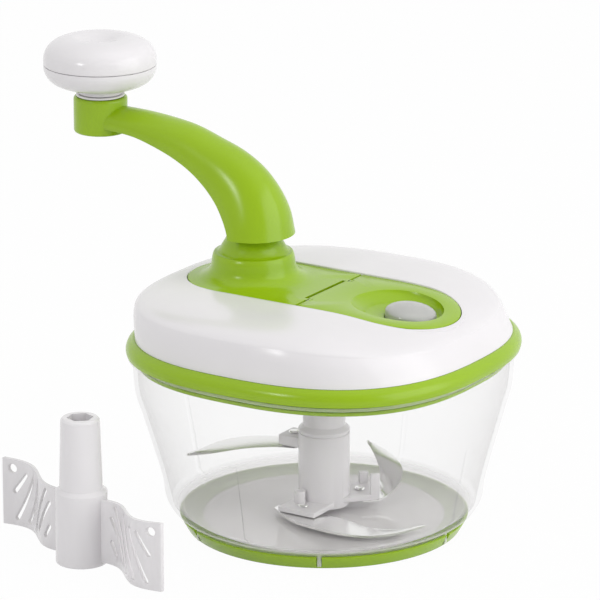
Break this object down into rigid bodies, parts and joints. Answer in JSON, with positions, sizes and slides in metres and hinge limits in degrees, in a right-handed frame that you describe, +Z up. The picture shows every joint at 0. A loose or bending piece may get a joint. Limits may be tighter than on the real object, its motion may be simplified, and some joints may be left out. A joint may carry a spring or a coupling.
{
  "type": "hand cranked food chopper",
  "caption": "Hand cranked food chopper with a clear bowl, geared lid and crank, hinged feed cap, bladed cutter on a centre pin, and a separate mixing paddle.",
  "frame": {"origin": "middle of the foot pad's underside, on the table", "axes": "+Z up along the bowl's and the cutter's axis; +X from the crank tower towards the feed cap, with the crank parked over -X; +Y to the back"},
  "size_m": [0.24, 0.2135, 0.2201],
  "materials": {
    "clear_plastic": "clear gloss",
    "green_plastic": "gloss",
    "white_plastic": "gloss",
    "steel": "satin",
    "pad_rubber": "matte",
    "nylon": "matte",
    "silicone": "satin, slightly frosted"
  },
  "bodies": {
    "bowl": {"bowl": "clear_plastic", "foot_ring": "green_plastic", "foot_pad": "pad_rubber", "centre_pin": "steel"},
    "lid": {"lid_rim": "green_plastic", "lid_seal": "silicone", "lid_shell": "white_plastic", "cover_plate": "white_plastic", "cover_screw_1": "steel", "cover_screw_2": "steel", "cover_screw_3": "steel", "cover_screw_4": "steel", "deck": "green_plastic", "hinge_pin": "steel", "tower_bush": "nylon", "spindle_bush": "nylon"},
    "cap": {"feed_cap": "green_plastic", "feed_plug": "silicone"},
    "crank": {"crank_arm": "green_plastic", "crank_shaft": "steel", "drive_gear": "nylon", "shaft_clip": "steel", "knob_pin": "steel", "knob_washer": "white_plastic"},
    "knob": {"knob_bottom": "white_plastic", "knob_top": "white_plastic"},
    "drive": {"pinion_spindle": "nylon", "spindle_clip": "steel"},
    "cutter": {"cutter_hub": "white_plastic", "low_blade": "steel", "fin_blade": "steel", "high_blade": "steel", "low_blade_rivet": "steel", "fin_blade_rivet": "steel", "high_blade_rivet": "steel"},
    "paddle": {"mixing_paddle": "white_plastic"}
  },
  "joints": [
    {"name": "lid_lift", "type": "slide", "parent": "bowl", "child": "lid", "axis": [0, 0, 1], "range_m": [0, 0.12]},
    {"name": "cap_hinge", "type": "hinge", "parent": "lid", "child": "cap", "pos_m": [0.0026, 0, 0.11425], "axis": [0, -1, 0], "range_deg": [0, 62]},
    {"name": "crank_turn", "type": "hinge", "parent": "lid", "child": "crank", "pos_m": [-0.03938, 0, 0.1], "axis": [0, 0, 1], "continuous": true},
    {"name": "knob_spin", "type": "hinge", "parent": "crank", "child": "knob", "pos_m": [-0.12598, 0, 0.2], "axis": [0, 0, 1], "continuous": true},
    {"name": "drive_spin", "type": "hinge", "parent": "lid", "child": "drive", "pos_m": [0, 0, 0.09], "axis": [0, 0, 1], "continuous": true},
    {"name": "cutter_spin", "type": "hinge", "parent": "bowl", "child": "cutter", "pos_m": [0, 0, 0.04], "axis": [0, 0, 1], "continuous": true},
    {"name": "paddle_lift", "type": "slide", "parent": "bowl", "child": "paddle", "axis": [0, 0, 1], "range_m": [0, 0.1]}
  ],
  "couplings": [
    {"joint": "drive_spin", "follows": "crank_turn", "ratio": -3.8462},
    {"joint": "cutter_spin", "follows": "crank_turn", "ratio": -3.8462}
  ]
}
